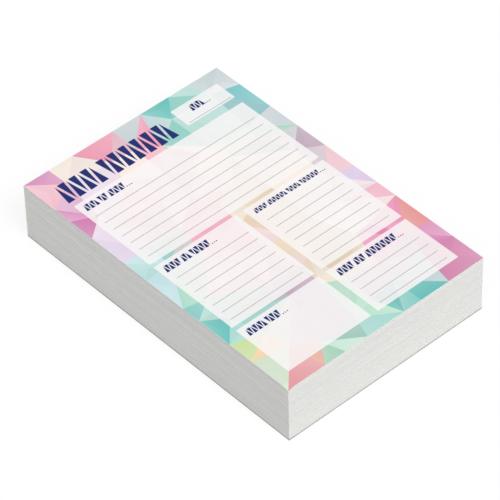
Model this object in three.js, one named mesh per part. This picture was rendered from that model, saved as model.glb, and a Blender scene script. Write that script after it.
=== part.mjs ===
// A thick tear-off planner pad lying flat, printed face up.
// Millimetres. +X runs across the page, +Y towards the glued head, +Z up.
// The origin is the middle of the underside.

import * as THREE from 'three';

// Driving dimensions of the paper
const SHEET_WIDTH = 152.4;
const SHEET_LENGTH = 228.6;
const SHEET_THICKNESS = 0.1;
const SHEET_COUNT = 400;

// Sheets that went under the knife together keep together, in lifts. Each lift
// lies back from the trimmed sides by its own small amount: a drift shared with
// its neighbours, and a slip of its own.
const SHEETS_PER_LIFT = 4;
const LIFT_DRIFT = 0.12;
const LIFT_SLIP = 0.13;
const LIFTS_PER_DRIFT = 23;

// A lift's cut edge eases over to the next lift within this height.
const LIFT_EASE = 0.06;

// Greyboard backing, trimmed flush with the sheets. The knife rolls its lower
// edges under a little.
const BOARD_THICKNESS = 1.0;
const BOARD_EDGE_ROLL = 0.15;

// Padding compound, brushed across the head in strokes that dry as low ridges.
const GLUE_THICKNESS = 0.3;
const GLUE_RIDGE_PITCH = 2.5;
const GLUE_RIDGE_DEPTH = 0.09;
const GLUE_POINTS_PER_RIDGE = 6;

// Places worked out from the sizes above
const BLOCK_HEIGHT = SHEET_COUNT * SHEET_THICKNESS;
const PAD_HEIGHT = BOARD_THICKNESS + BLOCK_HEIGHT;
const LEFT = -SHEET_WIDTH / 2;
const RIGHT = SHEET_WIDTH / 2;
const FOOT = -(SHEET_LENGTH + GLUE_THICKNESS) / 2;
const HEAD = FOOT + SHEET_LENGTH;

const paper = new THREE.MeshStandardMaterial({
  color: '#f3f2ee',
  roughness: 0.92,
  metalness: 0,
});
const greyboard = new THREE.MeshStandardMaterial({
  color: '#8d8a84',
  roughness: 0.95,
  metalness: 0,
});
const paddingCompound = new THREE.MeshStandardMaterial({
  color: '#efece2',
  roughness: 0.5,
  metalness: 0,
});

// A level outline of the pad at height z, set back from the three free sides.
// The head is held flush by the glue.
function outline(z, leftBack, rightBack, footBack) {
  return [
    [LEFT + leftBack, FOOT + footBack, z],
    [RIGHT - rightBack, FOOT + footBack, z],
    [RIGHT - rightBack, HEAD, z],
    [LEFT + leftBack, HEAD, z],
  ];
}

// Lofts one closed solid through outlines given from the lowest to the highest.
function loft(outlines) {
  const corners = outlines[0].length;
  const faces = [];
  for (let level = 0; level + 1 < outlines.length; level += 1) {
    for (let corner = 0; corner < corners; corner += 1) {
      const here = level * corners + corner;
      const beside = level * corners + ((corner + 1) % corners);
      faces.push(here, beside, beside + corners);
      faces.push(here, beside + corners, here + corners);
    }
  }
  const top = (outlines.length - 1) * corners;
  for (let corner = 1; corner + 1 < corners; corner += 1) {
    faces.push(0, corner + 1, corner);
    faces.push(top, top + corner, top + corner + 1);
  }
  const geometry = new THREE.BufferGeometry();
  const positions = outlines.flat(2);
  geometry.setAttribute('position', new THREE.Float32BufferAttribute(positions, 3));
  geometry.setIndex(faces);
  geometry.computeVertexNormals();
  return geometry;
}

// An even scatter between 0 and 1 that is the same every time.
function scatter(seed) {
  const spread = Math.sin(seed * 127.1 + 31.7) * 4375.85;
  return spread - Math.floor(spread);
}

// How far one side of a lift lies back from the trimmed edge. Each side has its
// own phase, so that the sides don't move together.
function setBack(lift, phase) {
  const drift = 0.5 + 0.5 * Math.sin((2 * Math.PI * lift) / LIFTS_PER_DRIFT + phase);
  return LIFT_DRIFT * drift + LIFT_SLIP * scatter(lift + 101 * phase);
}

// All the sheets, as lifts of a few sheets from the board up to the printed one.
// The uppermost lift lies true to the full size.
function sheetBlockGeometry() {
  const leftPhase = 0.4;
  const rightPhase = 2.6;
  const footPhase = 4.3;
  const lifts = Math.ceil(SHEET_COUNT / SHEETS_PER_LIFT);
  const outlines = [];
  for (let lift = 0; lift < lifts; lift += 1) {
    const firstSheet = lift * SHEETS_PER_LIFT;
    const nextSheet = Math.min(firstSheet + SHEETS_PER_LIFT, SHEET_COUNT);
    const isLowest = lift === 0;
    const isUppermost = lift === lifts - 1;
    const low = BOARD_THICKNESS + firstSheet * SHEET_THICKNESS;
    const high = BOARD_THICKNESS + nextSheet * SHEET_THICKNESS;
    const backs = isUppermost
      ? [0, 0, 0]
      : [leftPhase, rightPhase, footPhase].map((phase) => setBack(lift, phase));
    outlines.push(outline(isLowest ? low : low + LIFT_EASE / 2, ...backs));
    outlines.push(outline(isUppermost ? high : high - LIFT_EASE / 2, ...backs));
  }
  return loft(outlines);
}

// The backing board: square at the top, its lower edges rolled under.
function backingBoardGeometry() {
  const roll = BOARD_EDGE_ROLL;
  return loft([
    outline(0, roll, roll, roll),
    outline(roll, 0, 0, 0),
    outline(BOARD_THICKNESS, 0, 0, 0),
  ]);
}

// The film over the head: its section, drawn outwards from the head and upwards,
// runs the whole width of the pad.
function paddingGlueGeometry() {
  const section = new THREE.Shape();
  section.moveTo(0, 0);
  const steps = Math.round((PAD_HEIGHT / GLUE_RIDGE_PITCH) * GLUE_POINTS_PER_RIDGE);
  for (let step = 0; step <= steps; step += 1) {
    const height = (PAD_HEIGHT * step) / steps;
    const turn = (2 * Math.PI * height) / GLUE_RIDGE_PITCH;
    const hollow = GLUE_RIDGE_DEPTH * (0.5 - 0.5 * Math.cos(turn));
    section.lineTo(GLUE_THICKNESS - hollow, height);
  }
  section.lineTo(0, PAD_HEIGHT);
  section.closePath();
  const film = new THREE.ExtrudeGeometry(section, {
    depth: SHEET_WIDTH,
    bevelEnabled: false,
  });
  const outwards = new THREE.Vector3(0, 1, 0);
  const upwards = new THREE.Vector3(0, 0, 1);
  const across = new THREE.Vector3(1, 0, 0);
  const placed = new THREE.Matrix4().makeBasis(outwards, upwards, across);
  placed.setPosition(LEFT, HEAD, 0);
  film.applyMatrix4(placed);
  return film;
}

function piece(name, geometry, material) {
  const mesh = new THREE.Mesh(geometry, material);
  mesh.name = name;
  return mesh;
}

const plannerPad = new THREE.Group();
plannerPad.add(
  piece('sheet_block', sheetBlockGeometry(), paper),
  piece('backing_board', backingBoardGeometry(), greyboard),
  piece('padding_glue', paddingGlueGeometry(), paddingCompound),
);

export default plannerPad;
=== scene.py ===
"""A thick tear-off planner pad on a pale floor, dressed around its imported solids.

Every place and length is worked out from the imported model, which is the fixed
frame. Metres, +X across the page, +Y towards the glued head, +Z up.
"""

import logging
import math
import random
from collections.abc import Callable, Iterable, Iterator, Mapping
from contextlib import contextmanager
from dataclasses import dataclass, field
from enum import Enum
from typing import Any

import bpy
import numpy as np
from mathutils import Matrix, Vector


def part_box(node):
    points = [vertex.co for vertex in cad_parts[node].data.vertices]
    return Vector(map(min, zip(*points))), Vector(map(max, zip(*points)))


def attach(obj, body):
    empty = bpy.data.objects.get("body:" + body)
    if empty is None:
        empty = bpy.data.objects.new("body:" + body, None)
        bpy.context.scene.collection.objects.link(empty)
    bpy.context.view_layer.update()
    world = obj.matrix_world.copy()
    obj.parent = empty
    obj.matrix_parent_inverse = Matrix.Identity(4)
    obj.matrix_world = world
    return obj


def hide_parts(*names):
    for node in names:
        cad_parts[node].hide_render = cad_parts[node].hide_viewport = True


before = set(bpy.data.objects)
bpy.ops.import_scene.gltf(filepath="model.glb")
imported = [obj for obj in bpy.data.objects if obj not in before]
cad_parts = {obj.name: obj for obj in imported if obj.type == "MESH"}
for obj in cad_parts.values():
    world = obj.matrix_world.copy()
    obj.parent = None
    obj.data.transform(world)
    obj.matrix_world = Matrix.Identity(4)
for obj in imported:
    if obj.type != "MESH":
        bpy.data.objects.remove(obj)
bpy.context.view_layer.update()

MM = 0.001
NEAR = 0.001 * MM
BODY = "root"
PRINT_COLOURS = "print"
BAKE_MAP = "OFBake"
LOG = logging.getLogger("planner_pad")

Colour = tuple[float, float, float]
Socket = bpy.types.NodeSocket
Source = Socket | float | Colour

WHITE: Colour = (1.0, 1.0, 1.0)


class Side(Enum):
    """The trimmed sides, each with the phase that its sheets' slips start from."""

    LEFT = 0.4
    RIGHT = 2.6
    FOOT = 4.3


class Tint(Enum):
    """The colours that the page is washed with, in sRGB."""

    CERISE = "D262A0"
    MAGENTA = "D97FB8"
    HOT_PINK = "EC7AB0"
    ROSE = "F6A2BB"
    PALE_ROSE = "F8CDD6"
    LILAC = "D9C1E4"
    PALE_LILAC = "ECDDEE"
    MAUVE = "CBB3C5"
    CREAM = "FCEFE5"
    PEACH = "F9CF9C"
    BEIGE = "EAD8BA"
    SALMON = "F3A39B"
    CORAL = "E4868D"
    LIME = "CCE2A2"
    MINT = "AFE0C6"
    AQUA = "97D8CE"
    TEAL = "68C6BF"
    SEA = "80CBCE"
    PALE_AQUA = "BFE3E8"
    MIST = "CDD6DA"

    @property
    def linear(self) -> Colour:
        """The tint in linear light."""
        return linear(self.value)


class Wear(Enum):
    """How light or deep a facet is printed beside its wash."""

    DEEP = -0.07
    PLAIN = 0.0
    PALE = 0.13
    FAINT = 0.30


def linear(code: str) -> Colour:
    """A colour in linear light, from its six sRGB digits, red first."""
    channels = (int(code[i : i + 2], 16) / 255 for i in (0, 2, 4))
    return tuple(c / 12.92 if c <= 0.04045 else ((c + 0.055) / 1.055) ** 2.4 for c in channels)


def blend_colours(first: Colour, second: Colour, share: float) -> Colour:
    """Mixes a share of the second colour into the first."""
    return tuple(a + (b - a) * share for a, b in zip(first, second, strict=True))


def scatter(count: int, seed: tuple[int, int], phase: float) -> np.ndarray:
    """An even scatter between 0 and 1, by the rule that the solids follow."""
    spread = np.sin((seed[0] * np.arange(count) + seed[1] * phase) * 127.1 + 31.7) * 4375.85
    return spread - np.floor(spread)


# Node graphs


@dataclass(frozen=True)
class Ramp:
    """A range of numbers and the range that it is carried to, held at its ends."""

    start: float
    end: float
    low: float = 0.0
    high: float = 1.0


@dataclass(frozen=True)
class Spots:
    """Soft random spots: their size along each axis, and the finer octaves over them."""

    sizes: tuple[float, float, float]
    detail: float = 2.0
    roughness: float = 0.5

    @classmethod
    def even(cls, size: float, detail: float = 2.0, roughness: float = 0.5) -> "Spots":
        """Spots of one size along all three axes."""
        return cls((size,) * 3, detail, roughness)


@dataclass(frozen=True)
class Tone:
    """Spots that make a colour darker and lighter, by this spread each way."""

    spots: Spots
    spread: float


@dataclass(frozen=True)
class Fleck:
    """Spots that let a second colour show where they are strong."""

    spots: Spots
    share: Ramp
    colour: Colour


@dataclass(frozen=True)
class Surface:
    """How a finish takes the light: its roughness, its relief in metres and its gloss."""

    smoothest: float
    roughest: float
    relief: float
    gloss: float


class FinishGraph:
    """The nodes of one material or world, put together on the piece's own coordinates."""

    def __init__(self, owner: bpy.types.Material | bpy.types.World) -> None:
        """Starts without a node.

        Args:
            owner: The material or the world that the nodes are for.
        """
        owner.use_nodes = True
        self.owner = owner
        self.tree = owner.node_tree
        self.tree.nodes.clear()

    def node(
        self,
        kind: str,
        inputs: Mapping[str | int, Source] | None = None,
        **settings: Any,
    ) -> bpy.types.Node:
        """Adds a node.

        Args:
            kind: The node's type, without its first words.
            inputs: What each input holds, a value or another node's output.
            **settings: The node's own options.

        Returns:
            The new node.
        """
        made = self.tree.nodes.new("ShaderNode" + kind)
        for name, value in settings.items():
            setattr(made, name, value)
        for key, value in (inputs or {}).items():
            if isinstance(value, bpy.types.NodeSocket):
                self.tree.links.new(value, made.inputs[key])
            elif isinstance(value, tuple) and made.inputs[key].type == "RGBA":
                made.inputs[key].default_value = (*value, 1.0)
            else:
                made.inputs[key].default_value = value
        return made

    def place(self) -> Socket:
        """The point on the piece, in metres."""
        return self.node("TexCoord").outputs["Object"]

    def axes(self) -> tuple[Socket, Socket, Socket]:
        """The point's three coordinates, each by itself."""
        parts = self.node("SeparateXYZ", {0: self.place()})
        return parts.outputs[0], parts.outputs[1], parts.outputs[2]

    def noise(self, spots: Spots) -> Socket:
        """Makes soft random spots.

        Args:
            spots: Their sizes and octaves.

        Returns:
            A number around 0.5, seldom under 0.2 or over 0.8.
        """
        stretch = tuple(1 / size for size in spots.sizes)
        point = self.node("Mapping", {"Vector": self.place(), "Scale": stretch}).outputs[0]
        octaves = {"Detail": spots.detail, "Roughness": spots.roughness}
        return self.node("TexNoise", {"Vector": point, "Scale": 1.0, **octaves}).outputs[0]

    def calc(self, operation: str, first: Source, second: Source = 0.0) -> Socket:
        """Works out one number from two, by one of the Math node's operations."""
        return self.node("Math", {0: first, 1: second}, operation=operation).outputs[0]

    def span(self, value: Source, ramp: Ramp) -> Socket:
        """Carries a number from a ramp's first range to its second."""
        source = {"Value": value, "From Min": ramp.start, "From Max": ramp.end}
        return self.node("MapRange", {**source, "To Min": ramp.low, "To Max": ramp.high}).outputs[0]

    def mix(self, share: Source, first: Source, second: Source, way: str = "MIX") -> Socket:
        """Mixes a share of the second colour into the first, by a blend type."""
        inputs = {0: share, 6: first, 7: second}
        return self.node("Mix", inputs, data_type="RGBA", blend_type=way).outputs[2]

    def toned(self, colour: Source, value: Source, spread: float) -> Socket:
        """Makes a colour a little darker and lighter with a noise.

        Args:
            colour: The colour.
            value: The noise, around 0.5.
            spread: How far the tone goes each way.

        Returns:
            The toned colour.
        """
        tone = self.span(value, Ramp(0.25, 0.75, 1 - spread, 1 + spread))
        grey = self.node("CombineColor", {0: tone, 1: tone, 2: tone})
        return self.mix(1.0, colour, grey.outputs[0], "MULTIPLY")

    def layered(self, colour: Source, *layers: Tone | Fleck) -> tuple[Source, Socket]:
        """Lays tones and flecks over a colour, one by one.

        Args:
            colour: The colour.
            *layers: The tones and flecks, the lowest first.

        Returns:
            The colour with all of them over it, and the last one's noise.
        """
        for layer in layers:
            value = self.noise(layer.spots)
            if isinstance(layer, Tone):
                colour = self.toned(colour, value, layer.spread)
            else:
                colour = self.mix(self.span(value, layer.share), colour, layer.colour)
        return colour, value

    def any_ray(self, *kinds: str) -> Socket:
        """Tells rays of some kinds from the others.

        Args:
            *kinds: The kinds, as the Light Path node names them.

        Returns:
            One for a ray of any of these kinds, and nought for the others.
        """
        path = self.node("LightPath")
        seen, *others = (path.outputs[f"Is {kind} Ray"] for kind in kinds)
        for other in others:
            seen = self.calc("MAXIMUM", seen, other)
        return seen

    def close(
        self,
        colour: Source,
        height: Source,
        grain: Source,
        surface: Surface,
    ) -> bpy.types.Material:
        """Joins colour, relief and roughness into the finished material.

        Args:
            colour: The surface's colour.
            height: Its relief, from 0 to 1.
            grain: The noise that makes it smoother and rougher.
            surface: How it takes the light.

        Returns:
            The material.
        """
        relief = {"Strength": 1.0, "Distance": surface.relief, "Height": height}
        inputs = {
            "Base Color": colour,
            "Roughness": self.span(grain, Ramp(0.3, 0.7, surface.smoothest, surface.roughest)),
            "Specular IOR Level": surface.gloss,
            "Normal": self.node("Bump", relief).outputs[0],
        }
        lit = self.node("BsdfPrincipled", inputs)
        self.node("OutputMaterial", {"Surface": lit.outputs[0]})
        return self.owner


# Where the pieces lie


@dataclass(frozen=True)
class PadPlace:
    """Where the pad's pieces lie, read from the frame."""

    left: float
    right: float
    foot: float
    head: float
    board_top: float
    page: float
    back: float
    sheet: float = 0.1 * MM

    @classmethod
    def from_frame(cls) -> "PadPlace":
        """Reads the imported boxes.

        Returns:
            The pad's place.
        """
        low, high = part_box("sheet_block")
        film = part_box("padding_glue")[1]
        return cls(low.x, high.x, low.y, high.y, low.z, high.z, film.y)

    @property
    def width(self) -> float:
        """How wide a sheet is."""
        return self.right - self.left

    @property
    def length(self) -> float:
        """How long a sheet is."""
        return self.head - self.foot

    @property
    def middle(self) -> tuple[float, float]:
        """The middle of a sheet."""
        return (self.left + self.right) / 2, (self.foot + self.head) / 2

    def on_page(self, across: float, down: float) -> tuple[float, float]:
        """Where a place lies, given by its millimetres from the page's left edge and head."""
        return self.left + across * MM, self.head - down * MM

    def from_page(self, point: Vector) -> tuple[float, float]:
        """How many millimetres a point lies from the page's left edge and from its head."""
        return (point.x - self.left) / MM, (self.head - point.y) / MM

    def lay_grid(self, name: str, across: int, along: int, height: float) -> bpy.types.Object:
        """Lays a grid of the size of a sheet.

        Args:
            name: What the grid is called.
            across: How many steps it has across the page.
            along: How many steps it has along the page.
            height: How high it lies.

        Returns:
            The grid.
        """
        clear_selection()
        bpy.ops.mesh.primitive_grid_add(
            x_subdivisions=across,
            y_subdivisions=along,
            size=1,
            location=(*self.middle, height),
        )
        grid = named(name)
        grid.scale = (self.width, self.length, 1)
        settle(grid)
        return grid


# Finishes


@dataclass(frozen=True)
class PaperEdgeFinish:
    """The cut edges of hundreds of sheets: fine level lines, streaks, fibres and painted shade in
    the gaps between lifts.
    """

    colour: Colour = (0.785, 0.785, 0.765)
    sheet_spread: float = 0.03
    streaks: Tone = Tone(Spots((60 * MM, 60 * MM, 1.1 * MM), 3.0, 0.6), 0.036)
    fibres: Tone = Tone(Spots.even(0.5 * MM, 3.0, 0.65), 0.035)
    # Painted shade: thin dark lines at random heights, standing in for the shadow in the gaps
    # between lifts of sheets.
    painted_gap_shade: Fleck = Fleck(
        Spots((35 * MM, 35 * MM, 0.35 * MM), 1.0),
        Ramp(0.60, 0.74, 0.0, 0.08),
        (0.30, 0.30, 0.29),
    )
    foot_calm: Ramp = Ramp(0.4 * MM, 1.2 * MM, 0.65, 0.0)
    sheet_relief: float = 0.6
    surface: Surface = Surface(0.84, 0.95, 0.02 * MM, 0.2)

    def material(self, place: PadPlace) -> bpy.types.Material:
        """Builds the material.

        Args:
            place: The pad's place, for the foot, which is cut cleaner than the sides.

        Returns:
            The material.
        """
        graph = FinishGraph(bpy.data.materials.new("paper_edges"))
        _, along, up = graph.axes()
        layer = graph.calc("FLOOR", graph.calc("DIVIDE", up, place.sheet))
        each = graph.node("TexWhiteNoise", {"W": layer}, noise_dimensions="1D").outputs["Value"]
        shade = graph.toned(self.colour, each, self.sheet_spread)
        shade, fibres = graph.layered(shade, self.streaks, self.fibres)
        # Lays the painted shade of the gaps between lifts over the edges.
        shade, _ = graph.layered(shade, self.painted_gap_shade)
        calm = graph.span(graph.calc("SUBTRACT", along, place.foot), self.foot_calm)
        shade = graph.mix(calm, shade, self.colour)
        height = graph.calc("ADD", graph.calc("MULTIPLY", each, self.sheet_relief), fibres)
        return graph.close(shade, height, fibres, self.surface)


@dataclass(frozen=True)
class PrintFinish:
    """The printed face: the page's own colours on fine matt paper."""

    paper: Colour = (0.93, 0.93, 0.92)
    fibres: Tone = Tone(Spots.even(0.35 * MM, 3.0, 0.6), 0.012)
    clouds: Tone = Tone(Spots.even(9 * MM), 0.010)
    rim_wander: float = 0.25 * MM
    rim_share: Ramp = Ramp(0.18 * MM, 0.34 * MM, 0.55, 0.0)
    surface: Surface = Surface(0.62, 0.72, 0.006 * MM, 0.25)

    def material(self, place: PadPlace) -> bpy.types.Material:
        """Builds the material.

        Args:
            place: The pad's place, for the pale rim where the knife broke the ink.

        Returns:
            The material.
        """
        graph = FinishGraph(bpy.data.materials.new("printed_paper"))
        printed = graph.node("Attribute", attribute_name=PRINT_COLOURS).outputs["Color"]
        shade, fibres = graph.layered(printed, self.fibres)
        shade, _ = graph.layered(shade, self.clouds)
        across, along, _ = graph.axes()
        to_side = graph.calc("SUBTRACT", place.right, graph.calc("ABSOLUTE", across))
        to_foot = graph.calc("SUBTRACT", along, place.foot)
        nearest = graph.calc("MINIMUM", to_side, to_foot)
        ragged = graph.calc("ADD", nearest, graph.calc("MULTIPLY", fibres, self.rim_wander))
        shade = graph.mix(graph.span(ragged, self.rim_share), shade, self.paper)
        return graph.close(shade, fibres, fibres, self.surface)


@dataclass(frozen=True)
class InkFinish:
    """Ink printed over the page, a little uneven where the paper drank it."""

    name: str
    colour: Colour
    thin: Colour
    blotches: Spots = Spots.even(1.6 * MM, 3.0, 0.6)
    thin_share: Ramp = Ramp(0.35, 0.8, 0.0, 0.35)
    grain: Tone = Tone(Spots.even(0.2 * MM), 0.08)
    surface: Surface = Surface(0.53, 0.63, 0.003 * MM, 0.3)

    def material(self) -> bpy.types.Material:
        """Builds the material.

        Returns:
            The material.
        """
        graph = FinishGraph(bpy.data.materials.new(self.name))
        thin = Fleck(self.blotches, self.thin_share, self.thin)
        shade, grain = graph.layered(self.colour, thin, self.grain)
        return graph.close(shade, grain, grain, self.surface)


@dataclass(frozen=True)
class GreyboardFinish:
    """Recycled greyboard: flecked pulp, layered where it is cut."""

    colour: Colour = (0.46, 0.45, 0.425)
    pulp: Tone = Tone(Spots((4.5 * MM, 4.5 * MM, 0.4 * MM), 4.0, 0.6), 0.10)
    plies: Tone = Tone(Spots((12 * MM, 12 * MM, 0.16 * MM)), 0.05)
    dark: Fleck = Fleck(
        Spots((1.1 * MM, 0.7 * MM, 0.5 * MM), 2.0, 0.7),
        Ramp(0.66, 0.74, 0.0, 0.7),
        (0.26, 0.25, 0.24),
    )
    pale: Fleck = Fleck(
        Spots((0.8 * MM, 1.3 * MM, 0.4 * MM), 2.0, 0.7),
        Ramp(0.66, 0.74, 0.0, 0.6),
        (0.64, 0.63, 0.60),
    )
    grain: Tone = Tone(Spots.even(0.3 * MM, 3.0, 0.6), 0.05)
    surface: Surface = Surface(0.86, 0.96, 0.03 * MM, 0.2)

    def material(self) -> bpy.types.Material:
        """Builds the material.

        Returns:
            The material.
        """
        graph = FinishGraph(bpy.data.materials.new("greyboard"))
        layers = (self.pulp, self.plies, self.dark, self.pale, self.grain)
        shade, grain = graph.layered(self.colour, *layers)
        return graph.close(shade, grain, grain, self.surface)


@dataclass(frozen=True)
class PaddingFinish:
    """Dried padding compound: a satin, slightly clouded film with brush strokes."""

    colour: Colour = (0.88, 0.865, 0.80)
    thin: Colour = (0.855, 0.85, 0.81)
    strokes: Spots = Spots((30 * MM, 2 * MM, 1.6 * MM), 3.0, 0.6)
    clouds: Spots = Spots((16 * MM, 2 * MM, 7 * MM))
    sheets: Tone = Tone(Spots((60 * MM, 2 * MM, 0.3 * MM), 1.0), 0.02)
    thin_share: Ramp = Ramp(0.18, 0.34, 1.0, 0.0)
    cloud_spread: float = 0.012
    surface: Surface = Surface(0.34, 0.50, 0.06 * MM, 0.5)

    def material(self) -> bpy.types.Material:
        """Builds the material.

        Returns:
            The material.
        """
        graph = FinishGraph(bpy.data.materials.new("padding_compound"))
        strokes = graph.noise(self.strokes)
        clouds = graph.noise(self.clouds)
        thin = graph.span(graph.calc("MULTIPLY", strokes, clouds), self.thin_share)
        shade = graph.mix(thin, self.colour, self.thin)
        shade = graph.toned(shade, clouds, self.cloud_spread)
        shade, _ = graph.layered(shade, self.sheets)
        return graph.close(shade, strokes, clouds, self.surface)


# Modelling steps


def clear_selection() -> None:
    """Leaves edit mode and deselects every object."""
    if bpy.context.object and bpy.context.object.mode != "OBJECT":
        bpy.ops.object.mode_set(mode="OBJECT")
    bpy.ops.object.select_all(action="DESELECT")


def pick(obj: bpy.types.Object) -> None:
    """Makes one object the selected, active one.

    Args:
        obj: The object.
    """
    clear_selection()
    obj.select_set(True)
    bpy.context.view_layer.objects.active = obj


@contextmanager
def shaping(obj: bpy.types.Object, whole: bool = True) -> Iterator[None]:
    """Holds an object in edit mode.

    Args:
        obj: The object.
        whole: Whether all of its mesh is selected to begin with.

    Yields:
        Nothing, while the object is edited.
    """
    pick(obj)
    bpy.ops.object.mode_set(mode="EDIT")
    if whole:
        bpy.ops.mesh.select_all(action="SELECT")
    yield
    bpy.ops.object.mode_set(mode="OBJECT")


def cut_through(point: tuple[float, float, float], normal: tuple[int, int, int]) -> None:
    """Cuts the whole mesh that is in edit mode, and keeps both halves."""
    bpy.ops.mesh.select_all(action="SELECT")
    bpy.ops.mesh.bisect(plane_co=point, plane_no=normal)


def raise_region(move: tuple[float, float, float]) -> None:
    """Extrudes the selected faces that are in edit mode."""
    bpy.ops.mesh.extrude_region_move(TRANSFORM_OT_translate={"value": move})


def named(name: str) -> bpy.types.Object:
    """Names the object that an operator has just added, and its mesh.

    Args:
        name: The name.

    Returns:
        The object.
    """
    made = bpy.context.object
    made.name = name
    made.data.name = name
    return made


def settle(obj: bpy.types.Object) -> None:
    """Moves an object's place and size into its mesh."""
    pick(obj)
    bpy.ops.object.transform_apply(location=True, rotation=True, scale=True)


def face_out(obj: bpy.types.Object) -> None:
    """Turns all of a closed mesh's faces outwards."""
    with shaping(obj):
        bpy.ops.mesh.normals_make_consistent(inside=False)


def join(parts: Iterable[bpy.types.Object], name: str) -> bpy.types.Object:
    """Joins closed objects into one.

    Args:
        parts: The objects.
        name: What the joined object is called.

    Returns:
        The joined object, its faces outwards.
    """
    every = list(parts)
    pick(every[0])
    for part in every:
        part.select_set(True)
    bpy.ops.object.join()
    joined = named(name)
    face_out(joined)
    return joined


def points_of(mesh: bpy.types.Mesh) -> np.ndarray:
    """Reads a mesh's vertices.

    Args:
        mesh: The mesh.

    Returns:
        One row for each vertex.
    """
    found = np.empty(len(mesh.vertices) * 3)
    mesh.vertices.foreach_get("co", found)
    return found.reshape(-1, 3)


def put_points(mesh: bpy.types.Mesh, points: np.ndarray) -> None:
    """Writes the mesh's vertices back."""
    mesh.vertices.foreach_set("co", points.ravel())
    mesh.update()


def repaint(
    mesh: bpy.types.Mesh,
    face: bpy.types.MeshPolygon,
    change: Callable[[Colour], Colour],
) -> None:
    """Changes a face's printed colour at each of its corners.

    Args:
        mesh: The printed mesh.
        face: The face.
        change: Gives the new colour for the one that is there.
    """
    colours = mesh.color_attributes[PRINT_COLOURS].data
    for corner in face.loop_indices:
        shown = tuple(colours[corner].color)[:3]
        colours[corner].color = (*change(shown), 1.0)


def finish_piece(obj: bpy.types.Object, material: bpy.types.Material) -> None:
    """Dresses a piece, lets it ride on the pad and reports it.

    Args:
        obj: The piece.
        material: Its finish.
    """
    obj.data.materials.clear()
    obj.data.materials.append(material)
    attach(obj, BODY)
    LOG.info("%s: %d faces, %s", obj.name, len(obj.data.polygons), material.name)


# The sheets


@dataclass(frozen=True)
class PressedCorner:
    """The uppermost sheets' left foot corner, which thumbs have pressed down a little."""

    place: PadPlace
    depth: float = 0.9 * MM
    tip: float = 0.6 * MM
    reach: float = 5 * MM
    sheets_below: float = 12 * MM

    def crease(self, obj: bpy.types.Object) -> None:
        """Cuts the sheets where the corner begins to bend.

        Args:
            obj: The sheets, not closed yet.
        """
        bend = (self.place.left + self.reach, self.place.foot + self.reach, self.place.page)
        with shaping(obj):
            for normal in ((1, 0, 0), (0, 1, 0)):
                cut_through(bend, normal)

    def press(self, mesh: bpy.types.Mesh) -> None:
        """Lowers the points at the corner, those of the uppermost sheets most.

        Args:
            mesh: The mesh of the sheets.
        """
        points = points_of(mesh)
        away = np.hypot(points[:, 0] - self.place.left, points[:, 1] - self.place.foot)
        near = np.clip((self.reach - away) / (self.reach - self.tip), 0, 1)
        under = (self.place.page - points[:, 2]) / self.sheets_below
        points[:, 2] -= self.depth * near * np.clip(1 - under, 0, 1) ** 2
        put_points(mesh, points)


@dataclass(frozen=True)
class StackMap:
    """How the stack shares its map: a level strip for each side, and the two ends beside them."""

    place: PadPlace
    strip: float = 0.25
    rim: float = 0.01
    ends_left: float = 0.70
    ends_low: float = 0.03
    end_size: float = 0.2
    end_step: float = 0.25
    level: float = 0.99

    def lay_out(self, mesh: bpy.types.Mesh) -> None:
        """Lays the sides and ends out, the foot lowest, then the head, left and right.

        Args:
            mesh: The stack's mesh.
        """
        place = self.place
        map_of = mesh.uv_layers.new(name=BAKE_MAP).uv
        height = place.page - place.board_top
        for face in mesh.polygons:
            middle = face.center
            to_side = min(middle.x - place.left, place.right - middle.x)
            to_end = min(middle.y - place.foot, place.head - middle.y)
            is_side = to_side < to_end
            strip = 2 * is_side + (middle.x > 0 if is_side else middle.y > 0)
            for corner in face.loop_indices:
                spot = mesh.vertices[mesh.loops[corner].vertex_index].co
                across = (spot.x - place.left) / place.length
                along = (spot.y - place.foot) / place.length
                up = (spot.z - place.board_top) / height
                if abs(face.normal.z) > self.level:
                    low = self.ends_low + self.end_step * (face.normal.z > 0)
                    uv = (self.ends_left + self.end_size * across, low + self.end_size * along)
                else:
                    low = self.strip * strip + self.rim
                    uv = (along if is_side else across, low + (self.strip - 2 * self.rim) * up)
                map_of[corner].vector = uv


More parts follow.
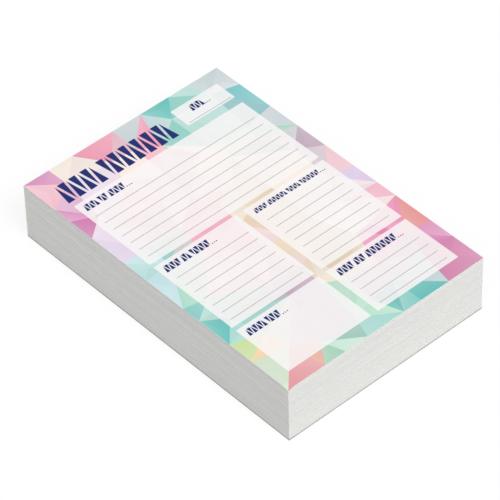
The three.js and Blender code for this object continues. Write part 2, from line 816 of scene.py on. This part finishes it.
@dataclass
class SheetStack:
    """All the sheets under the printed one, with every sheet's cut edge."""

    place: PadPlace
    corner: PressedCorner
    finish: PaperEdgeFinish = field(default_factory=PaperEdgeFinish)
    sheets_per_lift: int = 4
    lift_drift: float = 0.12 * MM
    lift_slip: float = 0.13 * MM
    lifts_per_drift: int = 23
    sheet_slip: float = 0.035 * MM
    edge_wave: float = 0.03 * MM
    wave_turns: float = 1.3
    wave_start: float = 5.0
    lift_seed: tuple[int, int] = (1, 101)
    sheet_seed: tuple[int, int] = (3, 57)
    wave_seed: tuple[int, int] = (7, 23)
    upright_share: float = 0.6
    merge_share: float = 0.1
    steps_across: int = 14
    steps_along: int = 22

    def build(self) -> bpy.types.Object:
        """Models one sheet's edge, repeats it up the stack and closes it.

        Returns:
            The stack as one closed piece.
        """
        place = self.place
        stack = place.lay_grid(
            "sheet_stack",
            self.steps_across,
            self.steps_along,
            place.board_top,
        )
        self.raise_one_sheet(stack)
        self.repeat_sheet(stack)
        self.corner.crease(stack)
        self.jog_sheets(stack.data)
        self.close_ends(stack)
        self.corner.press(stack.data)
        StackMap(place).lay_out(stack.data)
        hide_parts("sheet_block")
        return stack

    def raise_one_sheet(self, sheet: bpy.types.Object) -> None:
        """Keeps the outline of the sheet and raises its edge by one sheet.

        Args:
            sheet: A grid of the size of a sheet.
        """
        upright = self.place.sheet * self.upright_share
        with shaping(sheet):
            bpy.ops.mesh.region_to_loop()
            bpy.ops.mesh.select_mode(type="VERT")
            bpy.ops.mesh.select_all(action="INVERT")
            bpy.ops.mesh.delete(type="VERT")
            bpy.ops.mesh.select_all(action="SELECT")
            bpy.ops.mesh.delete(type="ONLY_FACE")
            bpy.ops.mesh.select_all(action="SELECT")
            for rise in (upright, self.place.sheet - upright):
                bpy.ops.mesh.extrude_edges_move(TRANSFORM_OT_translate={"value": (0, 0, rise)})

    def repeat_sheet(self, stack: bpy.types.Object) -> None:
        """Stacks copies of the sheet's edge up to the printed sheet.

        Args:
            stack: The object that holds one sheet's edge.
        """
        height = self.place.page - self.place.sheet - self.place.board_top
        array = stack.modifiers.new("sheets", "ARRAY")
        array.use_relative_offset = False
        array.use_constant_offset = True
        array.constant_offset_displace = (0, 0, self.place.sheet)
        array.count = round(height / self.place.sheet)
        array.use_merge_vertices = True
        array.merge_threshold = self.place.sheet * self.merge_share
        pick(stack)
        bpy.ops.object.modifier_apply(modifier=array.name)

    def set_back(self, side: Side, sheet: np.ndarray, along: np.ndarray) -> np.ndarray:
        """How far each point of a side lies back from the trimmed edge.

        Args:
            side: The side.
            sheet: The sheet that each point belongs to, counted from the board.
            along: How far along the side each point is, from 0 to 1.

        Returns:
            The distance for each point, in metres.
        """
        phase = side.value
        lift = sheet // self.sheets_per_lift
        sheets, lifts = int(sheet.max()) + 1, int(lift.max()) + 1
        turn = 2 * np.pi * np.arange(lifts) / self.lifts_per_drift + phase
        drift = self.lift_drift * (0.5 + 0.5 * np.sin(turn))
        slip = self.lift_slip * scatter(lifts, self.lift_seed, phase)
        own = self.sheet_slip * scatter(sheets, self.sheet_seed, phase)
        wave = scatter(lifts, self.wave_seed, phase)[lift]
        turns = along * (self.wave_turns + wave) + self.wave_start * wave
        bend = 0.5 + 0.5 * np.sin(2 * np.pi * turns)
        return (drift + slip)[lift] + own[sheet] + self.edge_wave * bend

    def jog_sheets(self, mesh: bpy.types.Mesh) -> None:
        """Lets each sheet lie a little back from the trimmed sides, by its own amount.

        Args:
            mesh: The stack's mesh.
        """
        place = self.place
        points = points_of(mesh)
        rise = (points[:, 2] - place.board_top) / place.sheet
        last = round((place.page - place.board_top) / place.sheet) - 2
        sheet = np.clip(np.floor(rise + (1 - self.upright_share) / 2), 0, last).astype(int)
        across = (points[:, 0] - place.left) / place.width
        along = (points[:, 1] - place.foot) / place.length
        sides = (
            (Side.LEFT, 0, place.left, 1, along),
            (Side.RIGHT, 0, place.right, -1, along),
            (Side.FOOT, 1, place.foot, 1, across),
        )
        for side, axis, edge, inwards, way in sides:
            there = np.abs(points[:, axis] - edge) < NEAR
            points[there, axis] += inwards * self.set_back(side, sheet, way)[there]
        put_points(mesh, points)

    def close_ends(self, stack: bpy.types.Object) -> None:
        """Closes the stack below and above with one face each.

        Args:
            stack: The stack.
        """
        mesh = stack.data
        for end in (min, max):
            heights = points_of(mesh)[:, 2]
            for part in (mesh.polygons, mesh.edges):
                part.foreach_set("select", np.zeros(len(part), bool))
            mesh.vertices.foreach_set("select", np.abs(heights - end(heights)) < NEAR)
            with shaping(stack, whole=False):
                bpy.ops.mesh.select_mode(type="VERT")
                bpy.ops.mesh.edge_face_add()
        face_out(stack)

    def dress(self, stack: bpy.types.Object) -> None:
        """Gives the stack its paper edges."""
        finish_piece(stack, self.finish.material(self.place))


# The printed page


@dataclass(frozen=True)
class WashRun:
    """Tints spaced evenly along a straight run, in millimetres from the page's head-left corner."""

    start: tuple[float, float]
    end: tuple[float, float]
    tints: tuple[Tint, ...]

    def spots(self) -> Iterator[tuple[float, float, Tint]]:
        """Spaces the tints along the run.

        Yields:
            Each tint's place across and down the page, and the tint.
        """
        for i, tint in enumerate(self.tints):
            share = i / (len(self.tints) - 1)
            across = self.start[0] + (self.end[0] - self.start[0]) * share
            down = self.start[1] + (self.end[1] - self.start[1]) * share
            yield across, down, tint


HEAD_RUN = WashRun(
    (6, 5),
    (147, 5),
    (Tint.MAGENTA, Tint.CREAM, Tint.ROSE, Tint.MIST, Tint.TEAL, Tint.AQUA, Tint.MIST),
)
RIGHT_RUN = WashRun(
    (147, 32),
    (147, 222),
    (Tint.SEA, Tint.MIST, Tint.MAUVE, Tint.MAUVE, Tint.PALE_ROSE)
    + (Tint.LILAC, Tint.ROSE, Tint.SALMON, Tint.MAGENTA, Tint.CERISE),
)
FOOT_RUN = WashRun(
    (0, 223),
    (140, 223),
    (Tint.MINT, Tint.CORAL, Tint.MINT, Tint.AQUA, Tint.TEAL, Tint.TEAL, Tint.CERISE),
)
LEFT_RUN = WashRun(
    (5, 24),
    (5, 200),
    (Tint.ROSE, Tint.MAGENTA, Tint.PALE_LILAC, Tint.LILAC, Tint.PALE_AQUA)
    + (Tint.PALE_AQUA, Tint.TEAL, Tint.TEAL, Tint.LIME, Tint.PEACH),
)
MIDDLE_RUNS = (
    WashRun((26, 26), (98, 26), (Tint.PALE_LILAC, Tint.CREAM, Tint.ROSE, Tint.AQUA)),
    WashRun((22, 60), (130, 60), (Tint.PALE_ROSE, Tint.PALE_ROSE, Tint.CREAM, Tint.MINT)),
    WashRun((12, 104), (130, 104), (Tint.AQUA, Tint.ROSE, Tint.BEIGE, Tint.CREAM)),
    WashRun((12, 138), (130, 138), (Tint.MINT, Tint.PALE_ROSE, Tint.BEIGE, Tint.CREAM)),
    WashRun((14, 173), (132, 173), (Tint.AQUA, Tint.MAUVE, Tint.BEIGE, Tint.HOT_PINK)),
    WashRun((24, 204), (130, 204), (Tint.PEACH, Tint.MAUVE, Tint.MINT, Tint.MAUVE, Tint.MAUVE)),
)


@dataclass(frozen=True)
class PageWashes:
    """Where the page is which colour: runs round its margins and over its middle."""

    runs: tuple[WashRun, ...] = (HEAD_RUN, RIGHT_RUN, FOOT_RUN, LEFT_RUN, *MIDDLE_RUNS)
    falloff: float = 7.0

    def colour_at(self, across: float, down: float) -> Colour:
        """The wash at a place: nearly that of the nearest tint.

        Args:
            across: Millimetres from the page's left edge.
            down: Millimetres from the page's head.

        Returns:
            The colour in linear light.
        """
        total = [0.0, 0.0, 0.0]
        weight = 0.0
        for run in self.runs:
            for spot_across, spot_down, tint in run.spots():
                far = math.hypot(across - spot_across, down - spot_down)
                near = 1 / (far + 1.0) ** self.falloff
                weight += near
                for i, channel in enumerate(tint.linear):
                    total[i] += near * channel
        return tuple(channel / weight for channel in total)


@dataclass(frozen=True)
class PennantRow:
    """A printed row of small pennants in groups, with dots after it, in millimetres."""

    groups: tuple[int, ...]
    height: float = 5.6
    pitch: float = 1.9
    left: float = 3.4
    top: float = 3.1
    dots: int = 3
    share: float = 1.26


@dataclass(frozen=True)
class Ruling:
    """A panel's rules: how many, how far down the first is and how far in they all start."""

    count: int
    first: float
    inset: float = 4.0


@dataclass(frozen=True)
class Panel:
    """A pale field for writing, in millimetres from the page's head-left corner."""

    left: float
    top: float
    right: float
    bottom: float
    pennants: PennantRow
    ruling: Ruling | None = None

    def covers(self, across: float, down: float) -> bool:
        """Whether a place on the page lies in the panel."""
        return self.left < across < self.right and self.top < down < self.bottom


@dataclass(frozen=True)
class PageLayout:
    """The page's panels, rules and rows of pennants, in millimetres."""

    margin: float = 9.9
    width: float = 152.4
    column_gap: float = 5.5
    row_gap: float = 3.0
    date_left: float = 105.2
    date_top: float = 10.8
    date_bottom: float = 27.4
    tall_top: float = 33.9
    tall_bottom: float = 101.3
    middle_bottom: float = 171.4
    low_bottom: float = 218.0
    rule_pitch: float = 7.64
    right_inset: float = 4.3
    banner: PennantRow = PennantRow((7, 12), 16.4, 4.3, 9.9, 13.6, dots=0, share=1.2)

    def panels(self) -> tuple[Panel, ...]:
        """Puts the panels together.

        Returns:
            Every panel, in reading order.
        """
        left, right = self.margin, self.width - self.margin
        column = (self.width - self.column_gap) / 2
        second = column + self.column_gap
        middle_top = self.tall_bottom + self.row_gap
        low_top = self.middle_bottom + self.row_gap
        boxes = (
            (self.date_left, self.date_top, right, self.date_bottom),
            (left, self.tall_top, right, self.tall_bottom),
            (left, middle_top, column, self.middle_bottom),
            (second, middle_top, right, self.middle_bottom),
            (left, low_top, column, self.low_bottom),
            (second, low_top, right, self.low_bottom),
        )
        rows = (
            PennantRow((5,), left=10.8),
            PennantRow((5, 3, 6)),
            PennantRow((6, 3, 7)),
            PennantRow((6, 9, 6, 9), 4.0, 1.55, self.right_inset, 3.5),
            PennantRow((7, 5)),
            PennantRow((6, 4, 12), left=self.right_inset),
        )
        rulings = (
            Ruling(1, 15.1, 1.9),
            Ruling(7, 15.4),
            Ruling(7, 15.7),
            Ruling(7, 15.7, 4.9),
            None,
            Ruling(4, 16.5, 4.9),
        )
        return tuple(
            Panel(*box, row, ruling) for box, row, ruling in zip(boxes, rows, rulings, strict=True)
        )


@dataclass(frozen=True)
class PageMap:
    """How the page shares its map: the print over nearly all of it, the rest on a shelf below."""

    place: PadPlace
    shelf: float = 0.03
    under_size: tuple[float, float] = (0.4, 0.024)
    rim_left: float = 0.45
    rim_size: tuple[float, float] = (0.5, 0.021)
    level: float = 0.5

    def lay_out(self, mesh: bpy.types.Mesh) -> None:
        """Lays the print, the underside and the rim out.

        Args:
            mesh: The page's mesh.
        """
        place = self.place
        map_of = mesh.uv_layers.new(name=BAKE_MAP).uv
        for face in mesh.polygons:
            for corner in face.loop_indices:
                spot = mesh.vertices[mesh.loops[corner].vertex_index].co
                across = (spot.x - place.left) / place.width
                along = (spot.y - place.foot) / place.length
                if face.normal.z > self.level:
                    uv = (across, self.shelf + (1 - self.shelf) * along)
                elif face.normal.z < -self.level:
                    uv = (self.under_size[0] * across, self.under_size[1] * along)
                else:
                    up = (spot.z - place.page) / place.sheet + 1
                    way = (across + along) / 2
                    uv = (self.rim_left + self.rim_size[0] * way, self.rim_size[1] * up)
                map_of[corner].vector = uv


@dataclass
class PrintedSheet:
    """The uppermost sheet: a page of soft facets with pale panels over them."""

    place: PadPlace
    corner: PressedCorner
    layout: PageLayout
    washes: PageWashes = field(default_factory=PageWashes)
    finish: PrintFinish = field(default_factory=PrintFinish)
    facets_across: int = 7
    facets_along: int = 10
    jitter: float = 0.34
    split_share: float = 0.6
    split_tone: float = 0.045
    stray: float = 6.0
    wear_weights: tuple[int, ...] = (2, 4, 3, 1)
    fade: float = 0.16
    veil: float = 0.82
    level: float = 0.5
    veil_colour: Colour = (0.985, 0.957, 0.955)
    seed: int = 11

    def build(self) -> bpy.types.Object:
        """Models the page: facets, then panels cut into them, then the sheet's thickness.

        Returns:
            The printed sheet.
        """
        draw = random.Random(self.seed)
        place = self.place
        page = place.lay_grid("printed_sheet", self.facets_across, self.facets_along, place.page)
        self.jitter_facets(page, draw)
        self.wash_facets(page.data, draw)
        self.split_facets(page, draw)
        self.cut_panels(page)
        self.veil_panels(page.data)
        self.corner.crease(page)
        self.thicken(page)
        self.corner.press(page.data)
        PageMap(place).lay_out(page.data)
        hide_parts("sheet_block")
        return page

    def jitter_facets(self, page: bpy.types.Object, draw: random.Random) -> None:
        """Moves the grid's points about, those on the sheet's edges only along them.

        Args:
            page: The page.
            draw: The random numbers.
        """
        place = self.place
        reach_across = self.jitter * place.width / self.facets_across
        reach_along = self.jitter * place.length / self.facets_along
        for vertex in page.data.vertices:
            spot = vertex.co
            move_across = draw.uniform(-reach_across, reach_across)
            move_along = draw.uniform(-reach_along, reach_along)
            if min(abs(spot.x - place.left), abs(spot.x - place.right)) > NEAR:
                spot.x += move_across
            if min(abs(spot.y - place.foot), abs(spot.y - place.head)) > NEAR:
                spot.y += move_along
        page.data.update()
        with shaping(page):
            bpy.ops.mesh.quads_convert_to_tris(quad_method="BEAUTY")

    def wash_facets(self, mesh: bpy.types.Mesh, draw: random.Random) -> None:
        """Gives each facet its wash, fading towards one of its corners.

        Args:
            mesh: The page's mesh.
            draw: The random numbers.
        """
        mesh.color_attributes.new(name=PRINT_COLOURS, type="FLOAT_COLOR", domain="CORNER")
        colours = mesh.color_attributes[PRINT_COLOURS].data
        for face in mesh.polygons:
            across, down = self.place.from_page(face.center)
            across += draw.uniform(-self.stray, self.stray)
            down += draw.uniform(-self.stray, self.stray)
            base = self.washes.colour_at(across, down)
            wear = draw.choices(list(Wear), self.wear_weights)[0]
            if wear is Wear.DEEP:
                base = tuple(channel * (1 + wear.value) for channel in base)
            else:
                base = blend_colours(base, WHITE, wear.value)
            bearing = draw.uniform(0, 2 * math.pi)
            way = Vector((math.cos(bearing), math.sin(bearing), 0))
            reach = [way.dot(mesh.vertices[v].co - face.center) for v in face.vertices]
            low, high = min(reach), max(reach)
            for corner, far in zip(face.loop_indices, reach, strict=True):
                share = self.fade * (far - low) / (high - low)
                colours[corner].color = (*blend_colours(base, WHITE, share), 1.0)

    def split_facets(self, page: bpy.types.Object, draw: random.Random) -> None:
        """Splits most facets in three, each a touch lighter or deeper than the facet.

        Args:
            page: The page.
            draw: The random numbers.
        """
        with shaping(page):
            bpy.ops.mesh.select_mode(type="FACE")
            bpy.ops.mesh.select_all(action="DESELECT")
        for face in page.data.polygons:
            face.select = draw.random() < self.split_share
        with shaping(page, whole=False):
            bpy.ops.mesh.poke()
        for face in page.data.polygons:
            tone = 1 + draw.uniform(-self.split_tone, self.split_tone)
            repaint(page.data, face, lambda shown: tuple(channel * tone for channel in shown))

    def cut_panels(self, page: bpy.types.Object) -> None:
        """Cuts the facets along every line that bounds a panel.

        Args:
            page: The page.
        """
        panels = self.layout.panels()
        uprights = sorted({x for panel in panels for x in (panel.left, panel.right)})
        levels = sorted({y for panel in panels for y in (panel.top, panel.bottom)})
        cuts = [((across, 0.0), (1, 0, 0)) for across in uprights]
        cuts += [((0.0, down), (0, 1, 0)) for down in levels]
        with shaping(page):
            for spot, normal in cuts:
                cut_through((*self.place.on_page(*spot), self.place.page), normal)

    def veil_panels(self, mesh: bpy.types.Mesh) -> None:
        """Prints the pale panels over the facets, which show through faintly.

        Args:
            mesh: The page's mesh.
        """
        panels = self.layout.panels()
        for face in mesh.polygons:
            spot = self.place.from_page(face.center)
            if any(panel.covers(*spot) for panel in panels):
                repaint(mesh, face, lambda shown: blend_colours(shown, self.veil_colour, self.veil))

    def thicken(self, page: bpy.types.Object) -> None:
        """Gives the page its sheet of paper, white at the edges and below.

        Args:
            page: The page.
        """
        solid = page.modifiers.new("sheet", "SOLIDIFY")
        solid.thickness = self.place.sheet
        solid.offset = -1
        pick(page)
        bpy.ops.object.modifier_apply(modifier=solid.name)
        for face in page.data.polygons:
            if face.normal.z < self.level:
                repaint(page.data, face, lambda _: self.finish.paper)

    def dress(self, page: bpy.types.Object) -> None:
        """Gives the page its printed paper."""
        finish_piece(page, self.finish.material(self.place))


@dataclass
class PageInk:
    """What is printed over the page in solid ink: rules, the banner and the panels' pennants."""

    place: PadPlace
    layout: PageLayout
    thickness: float = 0.02 * MM
    rule_width: float = 0.36
    rule_ink: InkFinish = InkFinish("rule_ink", linear("A19A98"), linear("B5AEAC"))
    mark_ink: InkFinish = InkFinish("navy_ink", linear("18296E"), linear("243A86"))
    group_gap: float = 0.84
    dot_size: float = 0.85
    dot_pitch: float = 1.6
    dot_sides: int = 12
    pennant_sides: int = 3
    pennant_rounding: float = 0.035
    rounding_steps: int = 3

    def flat_model(self, name: str, rounding: float = 0.0) -> bpy.types.Object:
        """Makes the flat shape that an operator has just added a mark of unit size.

        Args:
            name: What the mark is called.
            rounding: How far its corners are rounded, as a share of its size.

        Returns:
            The mark, from -0.5 to 0.5 across and up, standing on the page's plane.
        """
        model = named(name)
        points = points_of(model.data)
        low, high = points.min(0), points.max(0)
        size = np.where(high - low > 0, high - low, 1)
        put_points(model.data, (points - (low + high) / 2) / size)
        with shaping(model):
            bpy.ops.mesh.select_mode(type="VERT")
            bpy.ops.mesh.select_all(action="SELECT")
            if rounding:
                steps = self.rounding_steps
                bpy.ops.mesh.bevel(offset=rounding, segments=steps, affect="VERTICES")
                bpy.ops.mesh.select_all(action="SELECT")
            raise_region((0, 0, 1))
        face_out(model)
        return model

    def stamp(
        self,
        model: bpy.types.Object,
        across: float,
        down: float,
        width: float,
        height: float,
    ) -> bpy.types.Object:
        """Prints a copy of a mark on the page, with a mesh of its own.

        Args:
            model: The mark of unit size.
            across: Its middle, in millimetres from the page's left edge.
            down: Its middle, in millimetres from the page's head.
            width: Its width in millimetres.
            height: Its height in millimetres, negative to turn it over.

        Returns:
            The printed mark.
        """
        spot = Matrix.Translation((*self.place.on_page(across, down), self.place.page))
        printed = model.copy()
        printed.data = model.data.copy()
        printed.data.transform(spot @ Matrix.Diagonal((width * MM, height * MM, self.thickness, 1)))
        bpy.context.collection.objects.link(printed)
        return printed

    def print_row(
        self,
        pennant: bpy.types.Object,
        dot: bpy.types.Object,
        row: PennantRow,
        corner: tuple[float, float] = (0.0, 0.0),
    ) -> Iterator[bpy.types.Object]:
        """Prints a row of pennants, turn by turn upright and hanging, and its dots.

        Args:
            pennant: The pennant of unit size.
            dot: The dot of unit size.
            row: The row.
            corner: What the row's place is counted from, in millimetres across and down.

        Yields:
            Each printed mark.
        """
        across = corner[0] + row.left + row.pitch / 2
        top = corner[1] + row.top
        turned = 1
        for group in row.groups:
            for _ in range(group):
                width = row.pitch * row.share
                yield self.stamp(pennant, across, top + row.height / 2, width, turned * row.height)
                across += row.pitch
                turned = -turned
            across += row.pitch * self.group_gap
        across -= row.pitch * self.group_gap
        size = self.dot_size
        for _ in range(row.dots):
            yield self.stamp(dot, across, top + row.height - size / 2, size, size)
            across += self.dot_pitch

    def build_rules(self) -> bpy.types.Object:
        """Prints every rule as a thin strip of ink.

        Returns:
            All the rules as one piece.
        """
        clear_selection()
        bpy.ops.mesh.primitive_plane_add(size=1)
        strip = self.flat_model("rule")
        rules = []
        for panel in self.layout.panels():
            if panel.ruling:
                middle = (panel.left + panel.right) / 2
                length = panel.right - panel.left - 2 * panel.ruling.inset
                for i in range(panel.ruling.count):
                    down = panel.top + panel.ruling.first + i * self.layout.rule_pitch
                    rules.append(self.stamp(strip, middle, down, length, self.rule_width))
        bpy.data.objects.remove(strip)
        return join(rules, "ruled_lines")

    def build_marks(self) -> tuple[bpy.types.Object, bpy.types.Object]:
        """Prints the banner and the panels' rows of pennants.

        Returns:
            The banner, and all the panels' rows as one piece.
        """
        clear_selection()
        bpy.ops.mesh.primitive_circle_add(vertices=self.pennant_sides, fill_type="NGON")
        pennant = self.flat_model("pennant", self.pennant_rounding)
        clear_selection()
        bpy.ops.mesh.primitive_circle_add(vertices=self.dot_sides, fill_type="NGON")
        dot = self.flat_model("dot")
        banner = list(self.print_row(pennant, dot, self.layout.banner))
        small = []
        for panel in self.layout.panels():
            small.extend(self.print_row(pennant, dot, panel.pennants, (panel.left, panel.top)))
        for model in (pennant, dot):
            bpy.data.objects.remove(model)
        return join(banner, "banner_pennants"), join(small, "panel_pennants")

    def dress(self, rules: bpy.types.Object, marks: Iterable[bpy.types.Object]) -> None:
        """Gives the rules and the marks their inks.

        Args:
            rules: The rules.
            marks: The banner and the panels' pennants.
        """
        finish_piece(rules, self.rule_ink.material())
        navy = self.mark_ink.material()
        for piece in marks:
            finish_piece(piece, navy)


# The board and the padding compound


@dataclass
class BackingBoard:
    """The greyboard under the sheets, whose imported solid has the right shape."""

    finish: GreyboardFinish = field(default_factory=GreyboardFinish)

    def dress(self) -> None:
        """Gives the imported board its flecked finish."""
        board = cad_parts["backing_board"]
        board.data.materials.clear()
        board.data.materials.append(self.finish.material())
        LOG.info("backing_board: packed solid, %s", board.data.materials[0].name)


@dataclass
class PaddingGlue:
    """The film of padding compound over the head, brushed on across the sheets."""

    place: PadPlace
    finish: PaddingFinish = field(default_factory=PaddingFinish)
    steps_across: int = 90
    steps_up: int = 64
    stroke_pitch: float = 2.5 * MM
    stroke_depth: float = 0.14 * MM
    wander: float = 1.1 * MM
    wander_across: tuple[float, float] = (19 * MM, 7.3 * MM)
    wander_up: float = 11 * MM
    thin_depth: float = 0.10 * MM
    thin_across: tuple[float, float] = (13 * MM, 31 * MM)
    thin_up: float = 6 * MM
    thin_start: float = 2.1
    smooth_under: float = math.radians(40)

    def build(self) -> bpy.types.Object:
        """Models the film as a sheet, gives it its thickness and brushes its outside.

        Returns:
            The film.
        """
        place = self.place
        clear_selection()
        bpy.ops.mesh.primitive_grid_add(
            x_subdivisions=self.steps_across,
            y_subdivisions=self.steps_up,
            size=1,
        )
        film = named("padding_film")
        stand_up = Matrix.Rotation(math.pi / 2, 4, "X")
        size = Matrix.Diagonal((place.width, 1, place.page, 1))
        outside = Matrix.Translation((place.middle[0], place.back, place.page / 2))
        film.data.transform(outside @ size @ stand_up)
        with shaping(film):
            raise_region((0, place.head - place.back, 0))
        self.brush(film.data)
        face_out(film)
        pick(film)
        bpy.ops.object.shade_smooth_by_angle(angle=self.smooth_under)
        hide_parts("padding_glue")
        return film

    def brush(self, mesh: bpy.types.Mesh) -> None:
        """Draws the brush's level ridges and a few thin places in the film's outside.

        Args:
            mesh: The film's mesh.
        """
        points = points_of(mesh)
        outside = points[:, 1] > (self.place.head + self.place.back) / 2
        x, z = points[outside, 0], points[outside, 2]
        long, short = self.wander_across
        shift = self.wander * np.sin(x / long) * np.sin(x / short + z / self.wander_up)
        ridge = 0.5 - 0.5 * np.cos(2 * np.pi * (z + shift) / self.stroke_pitch)
        narrow, wide = self.thin_across
        thin = np.sin(x / narrow + self.thin_start) * np.sin(z / self.thin_up + x / wide)
        points[outside, 1] -= self.stroke_depth * ridge + self.thin_depth * (0.5 + 0.5 * thin)
        put_points(mesh, points)

    def dress(self, film: bpy.types.Object) -> None:
        """Gives the film its satin compound."""
        finish_piece(film, self.finish.material())


# The studio


@dataclass(frozen=True)
class Lamp:
    """One broad lamp: how strong it is and the direction that it shines from."""

    name: str
    strength: float
    source: tuple[float, float, float]
    softness: float = math.radians(30)

    def hang(self) -> None:
        """Hangs the lamp."""
        clear_selection()
        turn = Vector(self.source).to_track_quat("Z", "Y").to_euler()
        bpy.ops.object.light_add(type="SUN", location=self.source, rotation=turn)
        lamp = bpy.context.object
        lamp.name = self.name
        lamp.data.energy = self.strength
        lamp.data.angle = self.softness


@dataclass
class Studio:
    """A pale floor, soft light from the front and a long lens from above."""

    height: float
    azimuth: float = -41.206
    elevation: float = 43.984
    roll: float = -1.636
    distance: float = 2.1056
    aside: tuple[float, float] = (-0.0008, -0.00193)
    lens: float = 259.8
    sensor: float = 36.0
    farthest: float = 100.0
    lamps: tuple[Lamp, ...] = (
        Lamp("key", 1.82, (-0.05, -0.64, 0.765)),
        Lamp("fill", 0.42, (-0.75, -0.25, 0.61)),
    )
    sky: float = 0.456
    floor_colour: Colour = (0.60, 0.60, 0.60)
    floor_glow: float = 0.84
    floor_share: float = 0.17
    floor_size: float = 6.0
    floor_drop: float = 0.1 * MM

    def lay_floor(self) -> None:
        """Lays the floor, which looks white and keeps the pad's shadow."""
        clear_selection()
        bpy.ops.mesh.primitive_plane_add(size=self.floor_size, location=(0, 0, -self.floor_drop))
        floor = named("floor")
        graph = FinishGraph(bpy.data.materials.new("pale_floor"))
        plain = graph.node("BsdfDiffuse", {"Color": self.floor_colour}).outputs[0]
        glow = graph.node("Emission", {"Color": WHITE, "Strength": self.floor_glow}).outputs[0]
        shadowed = graph.node("BsdfDiffuse", {"Color": (self.floor_share,) * 3}).outputs[0]
        white = graph.node("AddShader", {0: glow, 1: shadowed}).outputs[0]
        seen = graph.any_ray("Camera", "Glossy", "Transmission")
        shown = graph.node("MixShader", {0: seen, 1: plain, 2: white}).outputs[0]
        graph.node("OutputMaterial", {"Surface": shown})
        floor.data.materials.append(graph.owner)

    def light_world(self) -> None:
        """Lights the pad evenly from all round, against white."""
        world = bpy.data.worlds.new("studio")
        bpy.context.scene.world = world
        graph = FinishGraph(world)
        seen = graph.any_ray("Camera", "Transmission")
        strength = graph.span(seen, Ramp(0.0, 1.0, self.sky, 1.0))
        light = graph.node("Background", {"Color": WHITE, "Strength": strength}).outputs[0]
        graph.node("OutputWorld", {"Surface": light})

    def place_camera(self) -> None:
        """Stands the camera where the photograph was taken from."""
        turn, lift, tilt = (math.radians(a) for a in (self.azimuth, self.elevation, self.roll))
        level = math.cos(lift)
        back = Vector((math.sin(turn) * level, -math.cos(turn) * level, math.sin(lift)))
        side = Vector((0, 0, 1)).cross(back).normalized()
        upright = back.cross(side)
        right = side * math.cos(tilt) + upright * math.sin(tilt)
        up = upright * math.cos(tilt) - side * math.sin(tilt)
        target = Vector((0, 0, self.height / 2))
        spot = target + right * self.aside[0] + up * self.aside[1] + back * self.distance
        clear_selection()
        bpy.ops.object.camera_add()
        camera = bpy.context.object
        camera.data.lens = self.lens
        camera.data.sensor_width = self.sensor
        camera.data.clip_end = self.farthest
        facing = Matrix((right, up, back)).transposed().to_4x4()
        camera.matrix_world = Matrix.Translation(spot) @ facing
        bpy.context.scene.camera = camera

    def set_up(self) -> None:
        """Sets up the floor, the lights, the camera and the view."""
        self.lay_floor()
        self.light_world()
        for lamp in self.lamps:
            lamp.hang()
        self.place_camera()
        bpy.context.scene.view_settings.view_transform = "Standard"


def main() -> None:
    """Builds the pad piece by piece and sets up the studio."""
    logging.basicConfig(level=logging.INFO, format="%(name)s: %(message)s")
    place = PadPlace.from_frame()
    corner = PressedCorner(place)
    layout = PageLayout()

    stack = SheetStack(place, corner)
    stack.dress(stack.build())

    sheet = PrintedSheet(place, corner, layout)
    sheet.dress(sheet.build())

    ink = PageInk(place, layout)
    ink.dress(ink.build_rules(), ink.build_marks())

    BackingBoard().dress()

    glue = PaddingGlue(place)
    glue.dress(glue.build())

    Studio(height=place.page).set_up()


if __name__ == "__main__":
    main()
